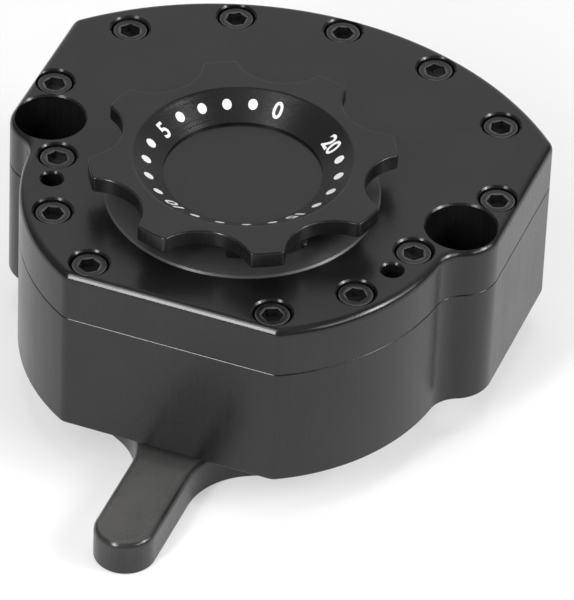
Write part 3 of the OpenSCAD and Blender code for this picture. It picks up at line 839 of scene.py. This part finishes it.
def lay_on_dish(bm):
    """Lays flat marks on the dish's cone as thin plates, sunk in it."""
    lift, thick = 0.025, 0.06
    for v in bm.verts:
        radius = math.hypot(v.co.x, v.co.y - SHAFT_Y * MM) / MM
        v.co.z = (dish_height(radius) + lift) * MM
    made = bmesh.ops.extrude_face_region(bm, geom=bm.faces[:], use_keep_orig=True)
    lower = [v for v in made["geom"] if isinstance(v, bmesh.types.BMVert)]
    bmesh.ops.translate(bm, verts=lower, vec=(0, 0, -thick * MM))
    bmesh.ops.recalc_face_normals(bm, faces=bm.faces[:])


def dial_number(words, angle):
    """A printed number on the dish, its top outwards."""
    curve = bpy.data.curves.new("number_" + words, "FONT")
    curve.body = words
    curve.size = NUMBER_SIZE * MM
    curve.align_x = "CENTER"
    curve.offset = NUMBER_SWELL * MM
    curve.space_character = 0.95
    text = bpy.data.objects.new("text", curve)
    bpy.context.scene.collection.objects.link(text)
    graph = bpy.context.evaluated_depsgraph_get()
    bm = bmesh.new()
    bm.from_mesh(bpy.data.meshes.new_from_object(text.evaluated_get(graph)))
    bpy.data.objects.remove(text)
    middle = (max(v.co.y for v in bm.verts) + min(v.co.y for v in bm.verts)) / 2
    turn = Matrix.Rotation(math.radians(angle - 90), 3, "Z")
    bmesh.ops.translate(bm, verts=bm.verts[:], vec=(0, NUMBERS_R * MM - middle, 0))
    bmesh.ops.rotate(bm, verts=bm.verts[:], cent=(0, 0, 0), matrix=turn)
    bmesh.ops.translate(bm, verts=bm.verts[:], vec=at((0, 0)))
    lay_on_dish(bm)
    return mesh_object("dial_number_" + words, bm)


def dial_marks():
    """A number at every fifth setting and a dot at the others."""
    for k in range(0, SETTINGS, NUMBER_EVERY):
        dress(dial_number(str(k), MARKS_START + STEP * k), "dial", INK)
    bm = bmesh.new()
    for k in range(SETTINGS):
        if k % NUMBER_EVERY:
            made = bmesh.ops.create_circle(bm, cap_ends=True, segments=24, radius=DOT_R * MM)
            bmesh.ops.translate(bm, verts=made["verts"], vec=at(polar(DOTS_R, MARKS_START + STEP * k)))
    lay_on_dish(bm)
    dress(mesh_object("dial_dots", bm), "dial", INK)


# Whole part


def keep_nodes():
    """Gives the CAD nodes that stay their finishes."""
    kept = {
        STEEL: ["vane_rotor", "valve_spool", "cover_dowels", "detent_ball", "detent_spring"],
        BRONZE: ["lower_bush", "upper_bush", "lower_thrust_washer", "upper_thrust_washer"],
        RUBBER: ["cover_seal", "vane_seal", "shaft_seal", "stem_seal", "fill_plug_seal"],
        OXIDE: ["seal_clip", "dial_grub_screws"],
    }
    for finish, names in kept.items():
        for name in names:
            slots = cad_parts[name].data.materials
            slots.clear()
            slots.append(finish)


cover()
housing()
cover_screws()
underside_fasteners()
steering_arm()
dial()
dial_plate()
dial_marks()
keep_nodes()


# Stage, light and camera


def looked_at(root):
    """1 for what the camera sees straight, in a reflection or through something, 0 for diffuse light."""
    kinds = ("Is Camera Ray", "Is Glossy Ray", "Is Transmission Ray")
    camera_ray, glossy_ray, through_ray = (root.make("ShaderNodeLightPath", out=kind) for kind in kinds)
    return (camera_ray + glossy_ray + through_ray).calc("MINIMUM", 1.0)


def studio_floor():
    """White paper just under the arm, a little self-lit where it is looked at."""
    half_size, gap, glow = 3.0, 0.05, 0.45
    bm = bmesh.new()
    bmesh.ops.create_grid(bm, x_segments=1, y_segments=1, size=half_size)
    bmesh.ops.translate(bm, verts=bm.verts[:], vec=(0, 0, (ARM_BOTTOM - gap) * MM))
    floor = mesh_object("studio_floor", bm)
    material, shader, place = start_finish("white_paper")
    paper = place.noise(40.0, 2.0)
    join(shader, Base_Color=paper.blend((0.54, 0.54, 0.54), (0.58, 0.58, 0.58)))
    join(shader, Emission_Color=looked_at(place).blend((0, 0, 0), (glow, glow, glow)))
    shader.inputs["Emission Strength"].default_value = 1.0
    shader.inputs["Roughness"].default_value = 0.9
    shader.inputs["Specular IOR Level"].default_value = 0.0
    floor.data.materials.append(material)


def softbox(name, place, size, power, lean):
    """Light box a metre off that faces the object, leaning sideways by an angle."""
    middle = Vector((0, 0, 0.02))
    lamp = bpy.data.lights.new(name, "AREA")
    lamp.shape = "RECTANGLE"
    lamp.size, lamp.size_y = size
    lamp.energy = power
    obj = bpy.data.objects.new(name, lamp)
    obj.location = place
    facing = (middle - Vector(place)).to_track_quat("-Z", "Y").to_matrix()
    obj.rotation_euler = (facing @ Matrix.Rotation(math.radians(lean), 3, "Z")).to_euler()
    bpy.context.scene.collection.objects.link(obj)


def white_room():
    """White sweep behind the object and a dimmer room in front of it; diffuse light comes from overhead."""
    sweep, dim, cap, fill = 0.6, 0.2, 4.4, 0.07  # strengths
    world = bpy.data.worlds.new("white_room")
    bpy.context.scene.world = world
    world.use_nodes = True
    tree = world.node_tree
    root = Socket(tree, None)
    direction = root.make("ShaderNodeTexCoord", out="Generated")

    def towards(x, y, z):
        return root.make(
            "ShaderNodeVectorMath", [(0, direction), (1, (x, y, z))], out="Value", operation="DOT_PRODUCT"
        )

    backdrop = towards(0.0, 0.85, -0.53).ramp(-0.3, 0.2) * towards(-0.26, 0.73, 0.63).ramp(0.5, 1.0)
    room = backdrop * sweep + dim
    overhead = towards(0.0, 0.12, 0.993).ramp(0.955, 0.985) * cap + fill
    strength = looked_at(root) * (room - overhead) + overhead
    background = tree.nodes["Background"]
    background.inputs["Color"].default_value = (1, 1, 1, 1)
    tree.links.new(strength.out, background.inputs["Strength"])


def camera():
    """The photograph's viewpoint, fitted to its screw circles, edges and dial marks."""
    azimuth, elevation, roll = (math.radians(a) for a in (19.421, 39.686, 2.489))
    target, distance = Vector((20.127, -34.408, 37.5)) * MM, 1.256449
    focal_pixels, picture_pixels, sensor = 6554.955, 600, 36.0
    back = Vector(
        (
            math.sin(azimuth) * math.cos(elevation),
            -math.cos(azimuth) * math.cos(elevation),
            math.sin(elevation),
        )
    )
    right = Vector((math.cos(azimuth), math.sin(azimuth), 0))
    up = back.cross(right)
    across = right * math.cos(roll) + up * math.sin(roll)
    over = up * math.cos(roll) - right * math.sin(roll)
    data = bpy.data.cameras.new("photo_view")
    data.sensor_width = sensor
    data.lens = focal_pixels * sensor / picture_pixels
    data.clip_end = 20.0
    obj = bpy.data.objects.new("photo_view", data)
    turn = Matrix((across, over, back)).transposed().to_4x4()
    obj.matrix_world = Matrix.Translation(target + back * distance) @ turn
    bpy.context.scene.collection.objects.link(obj)
    bpy.context.scene.camera = obj


studio_floor()
softbox("front_left_light", (-0.25, -0.83, 0.5), (0.16, 0.6), power=5.6, lean=8)
softbox("upper_left_light", (-0.25, -0.5, 0.83), (0.22, 0.44), power=1.8, lean=20)
softbox("right_light", (0.795, 0.05, 0.6), (0.15, 0.4), power=2.9, lean=-18)
softbox("right_wide_light", (0.83, -0.04, 0.55), (0.85, 0.34), power=3.6, lean=-12)
white_room()
camera()
bpy.context.scene.view_settings.view_transform = "Standard"
